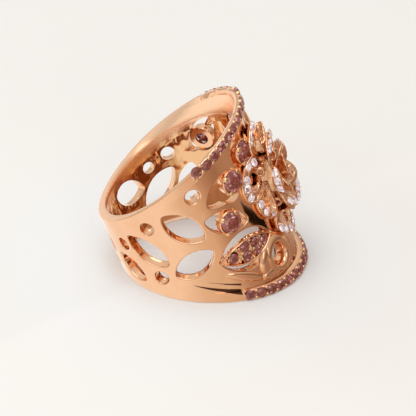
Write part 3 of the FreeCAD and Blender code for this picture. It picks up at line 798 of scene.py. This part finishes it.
plate_angle, plate_share, plate_lean, plate_radius = -48.3, -0.354, -3.4, 9.95
edge_radius, edge_turn = 5.56, 43.1
rims = []
for side in (1, -1):
    deselect()
    bpy.ops.mesh.primitive_circle_add(vertices=10, radius=0.11, location=(0, 0, 0))
    rim = bpy.context.object
    swing = -edge_turn * side
    in_edit(rim, turn_step(90, "Y"), stretch_step(1, 1, 1.5), shift_step(0, edge_radius, 0),
            turn_step(swing, "Z"),
            (bpy.ops.mesh.spin, {"steps": 28, "angle": math.radians(2 * swing),
                                 "center": (0, 0, 0), "axis": (0, 0, 1)}),
            (bpy.ops.mesh.select_all, {"action": "SELECT"}), shift_step(0, -4.19, 0.06))
    if side < 0:
        in_edit(rim, turn_step(180, "Z"))
    wrapped(rim, plate_radius)
    rims.append(rim)
for rim in rims:
    rim.data.transform(Matrix.Scale(MM, 4)
                       @ band_place(plate_angle, plate_share, plate_lean, plate_radius))
    rim.data.materials.append(setting_gold)
plate = merged_copy("leaf_plate")
up = band_place(plate_angle, plate_share).to_3x3() @ Vector((0, 0, 1))
low = [(vert.co - finger_axis * vert.co.dot(finger_axis)).length < 9.3 * MM for vert in plate.data.vertices]
bpy.ops.object.mode_set(mode="EDIT")
bpy.ops.mesh.select_mode(type="VERT")
bpy.ops.mesh.select_all(action="DESELECT")
bpy.ops.object.mode_set(mode="OBJECT")
plate.data.vertices.foreach_set("select", low)
bpy.ops.object.mode_set(mode="EDIT")
bpy.ops.transform.translate(value=up * 0.5 * MM)
bpy.ops.object.mode_set(mode="OBJECT")
beads = copies_at(bead, bead_places(stone_seats("leaf_plate_stones"), 0.2, 0.46, plate))
fitted(joined("leaf_plate_pave", [plate] + beads + rims, 35), "leaf_plate")

# ---- The rose
# Six wide pierced petals lie close over the band, five bowed petals stand inside them and three more round
# the rolled bud. Each is a cast sheet with a thick, slightly wavy edge; stones sit in the outer two rings.

rose_frame = Matrix.Rotation(-tilt, 4, "Y") @ Matrix.Translation((0, 0, 1.0)) @ Matrix((
    (0, 0, 1, 0), (1, 0, 0, 0), (0, 1, 0, 0), (0, 0, 0, 1)))
petal_top, dome_radius = 10.65, 8.0
carving = bpy.data.textures.new("hand carving", "CLOUDS")
carving.noise_scale = 2.4
fine_carving = bpy.data.textures.new("fine hand carving", "CLOUDS")
fine_carving.noise_scale = 0.8
petal_gold = rose_gold("petal rose gold", 0.07, 3.0, (0.86, 0.49, 0.27), (0.98, 0.64, 0.43), grain=1.3)
standing_gold = rose_gold("standing petal rose gold", 0.07, 4.0, (0.84, 0.47, 0.26), (0.98, 0.64, 0.43),
                          folds_and_depth_shade=0.35, grain=1.5)
for name in ("rose_base", "rose_bud"):
    dress(name, standing_gold)


def carved(piece, amount):
    """Light waves over a petal, as a hand leaves them in wax."""
    use(piece, "SUBSURF", levels=1)
    for texture, strength in ((carving, amount), (fine_carving, 0.5 * amount)):
        use(piece, "DISPLACE", texture=texture, strength=strength, mid_level=0.5, texture_coords="LOCAL")


petal_root = 2.6


def outer_petal(name, turn, reach, width, opening):
    """A petal along the band: its edge a ridge outside the stones, its middle pierced."""
    half, across = (reach - petal_root) / 2, width / 2
    middle = petal_root + half
    hole_start, hole_end = petal_root + 0.9, reach - 1.2
    hole, hole_middle = max(hole_end - hole_start, 0.3) / 2, (hole_start + hole_end) / 2
    slit = max(opening, 0.2) / 2
    inner = (hole, slit, -0.42, hole_middle)
    edge = [(half - inset, across - inset, height, middle) for inset, height in (
        (0.12, -0.45), (0.0, -0.28), (-0.04, 0.0), (0.06, 0.14), (0.20, 0.10), (0.30, -0.06),
        (0.78, -0.08), (0.90, 0.06), (1.02, 0.05))]
    rings = edge + [
        ((half - 1.0 + hole) / 2, (across - 1.0 + slit) / 2, -0.10, (middle + hole_middle) / 2),
        (hole + 0.10, slit + 0.10, -0.16, hole_middle), (hole, slit, -0.26, hole_middle), inner,
    ]
    piece = turned(name, 48, inner, rings, hollow=True)
    reach_aside = max(abs(reach * math.cos(math.radians(turn))), 0.1)
    stretch = dome_radius * math.asin(min(reach_aside / dome_radius, 0.95)) / reach_aside
    in_edit(piece, turn_step(turn, "Z"), stretch_step(stretch, 1, 1), turn_step(90, "X"))
    carved(piece, 0.26)
    span = piece.dimensions.x
    use(piece, "SIMPLE_DEFORM", deform_method="BEND", deform_axis="Z", angle=span / dome_radius)
    in_edit(piece, turn_step(-90, "X"), shift_step(0, 0, petal_top))
    return piece


def standing_petal(name, turn, spread, height, width, foot, thick, bow=22):
    """A petal that stands up from the rose's foot: a bowed, cupped sheet with a rolled lip."""
    across, up = width / 2, math.hypot(spread, height)
    rings = [(across * share, up * share, level, 0) for share, level in (
        (0.80, -thick * 0.96), (0.93, -thick * 0.80), (0.985, -thick * 0.35), (1.0, 0.06), (0.965, 0.17),
        (0.915, 0.15), (0.87, 0.02), (0.62, 0.0), (0.56, 0.10), (0.48, 0.08), (0.15, 0.10))]
    piece = turned(name, 40, (across * 0.3, up * 0.3, -thick, 0), rings)
    in_edit(piece, turn_step(90, "X"))
    carved(piece, 0.24)
    round_foot = width / (foot + 0.55 * spread)
    use(piece, "SIMPLE_DEFORM", deform_method="BEND", deform_axis="Z", angle=round_foot)
    use(piece, "SIMPLE_DEFORM", deform_method="BEND", deform_axis="X", angle=math.radians(2 * bow))
    lean = math.degrees(math.atan2(spread, height)) + 0.5 * bow
    in_edit(piece, turn_step(lean, "X"), (bpy.ops.mesh.bisect, {
        "plane_co": (0, 0, -0.1), "plane_no": (0, 0, 1), "use_fill": True, "clear_inner": True}))
    piece.data.transform(moved(0, 0, petal_top, turn) @ moved(foot, 0, 0, 90))
    return piece


def seats_on(node, petal):
    """The seats of a node's stones, moved on to the face of a petal."""
    seats = []
    for centre, outward, diameter in stone_seats(node):
        _, nearest, normal, _ = petal.closest_point_on_mesh(centre)
        outward = (outward + 2 * normal).normalized() if normal.dot(outward) > 0 else outward
        seats.append((nearest + outward * 0.05 * MM, outward, diameter))
    return seats


def petal_done(piece, node, stones=True):
    """Sets a petal in its place, with its stones and the beads that hold them."""
    piece.data.transform(Matrix.Scale(MM, 4) @ rose_frame)
    piece.data.materials.append(petal_gold if "outer" in node else standing_gold)
    parts = [piece]
    if stones:
        seats = seats_on(node + "_stones", piece)
        set_stones(node + "_stones_cut", seats, node + "_stones", white_gem, 0.08, 1.2)
        parts += copies_at(bead, bead_places(seats, 0.15, 0.44, piece))
    fitted(joined(node + "_form", parts, 50), node)


for number, petal in enumerate([
    (92, 7.2, 5.6, 1.6), (150, 6.3, 5.4, 1.4), (205, 5.3, 4.2, 0), (262, 7.2, 6.4, 1.8),
    (326, 6.4, 5.4, 1.4), (29, 6.0, 4.9, 1.2),
]):
    node = f"outer_petal_{number + 1}"
    petal_done(outer_petal(node, *petal), node)
for number, petal in enumerate([
    (98, 3.1, 1.35, 5.4), (166, 1.2, 1.75, 4.4), (237, 2.0, 1.45, 5.0), (304, 2.7, 1.35, 5.4),
    (22, 1.6, 1.7, 4.8),
]):
    node = f"middle_petal_{number + 1}"
    petal_done(standing_petal(node, *petal, 2.5, 0.5), node)
for number, petal in enumerate([(84, 1.9, 2.5, 4.4), (205, 1.0, 2.2, 3.8), (325, 1.3, 2.35, 4.0)]):
    node = f"inner_petal_{number + 1}"
    petal_done(standing_petal(node, *petal, 1.5, 0.45, 30), node, False)


def fold(length, height, curl, lean):
    """A thin standing sheet with a rolled edge, bowed in plan."""
    rings = [
        (length, 0.20, -0.5, 0.0), (length * 1.02, 0.16, height * 0.3, 0.05),
        (length * 1.04, 0.12, height * 0.7, 0.1), (length, 0.19, height * 0.93, 0.1),
        (length * 0.92, 0.17, height, 0.08), (length * 0.7, 0.06, height * 1.06, 0.05),
    ]
    piece = turned("fold", 28, (length * 0.8, 0.14, -0.55, 0.0), rings)
    carved(piece, 0.5)
    use(piece, "SIMPLE_DEFORM", deform_method="BEND", deform_axis="Z", angle=math.radians(curl))
    in_edit(piece, turn_step(lean, "X"))
    return piece


folds = []
for along, across, height, turn, size in [
    (-2.9, 1.4, 10.3, 92, (2.0, 1.25, 25, 10)), (-2.2, 2.0, 10.3, 80, (1.7, 1.0, -40, -10)),
    (-3.6, -1.3, 9.7, 60, (1.3, 0.9, 60, 0)), (-2.2, 5.0, 10.2, 100, (1.3, 1.2, -30, 0)),
    (-0.6, 1.6, 11.6, 75, (1.3, 1.3, 35, -12)), (-0.3, -0.2, 11.4, 98, (1.2, 1.25, -35, 8)),
    (1.2, 4.8, 10.3, 30, (1.5, 1.1, 40, 0)), (2.6, -2.6, 10.3, -50, (1.5, 1.1, 40, 5)),
    (3.2, 1.6, 10.2, 100, (1.6, 1.1, -40, 0)), (-1.0, -3.6, 10.2, 15, (1.3, 1.0, 45, 0)),
]:
    sheet = fold(*size)
    sheet.data.transform(moved(along, across, height, turn))
    folds.append(sheet)
for along, across, height, size in [
    (-1.7, 3.5, 11.8, 0.36), (-3.6, 2.7, 10.4, 0.24), (-2.6, -2.2, 10.6, 0.22),
]:
    curl = loop_ring("curl")
    on_edge = Matrix.Rotation(math.radians(-78), 4, "Y") @ Matrix.Scale(size, 4)
    curl.data.transform(moved(along, across, height) @ on_edge)
    folds.append(curl)
for sheet in folds:
    sheet.data.transform(Matrix.Scale(MM, 4) @ rose_frame)
    sheet.data.materials.append(standing_gold)
fitted(joined("rose_base_form", [merged_copy("rose_base")] + folds, 50), "rose_base")
bpy.data.objects.remove(bead)
bpy.data.objects.remove(pattern)

# ---- The camera
# It stands low at the ring's left side, a little towards the rose.
azimuth, elevation = math.radians(4.0), math.radians(31.7)
flat = math.cos(elevation)
back = Vector((math.sin(azimuth) * flat, -math.cos(azimuth) * flat, math.sin(elevation)))
distance = 544.4 * MM
view_width = 47.85 * MM
aim = MM * Vector((0.743 * band_radius * math.sin(tilt), 0,
                   0.8 * band_radius - half_width * math.cos(tilt)))
camera = bpy.data.objects.new("camera", bpy.data.cameras.new("camera"))
bpy.context.scene.collection.objects.link(camera)
bpy.context.scene.camera = camera
camera.location = aim + back * distance
camera.rotation_euler = (math.pi / 2 - elevation, 0, azimuth)
camera.data.lens = camera.data.sensor_width * distance / view_width
camera.data.shift_x = -0.0077
camera.data.shift_y = -0.0204
camera.data.clip_start = 0.01
camera.data.clip_end = 10
bpy.context.scene.view_settings.view_transform = "Standard"
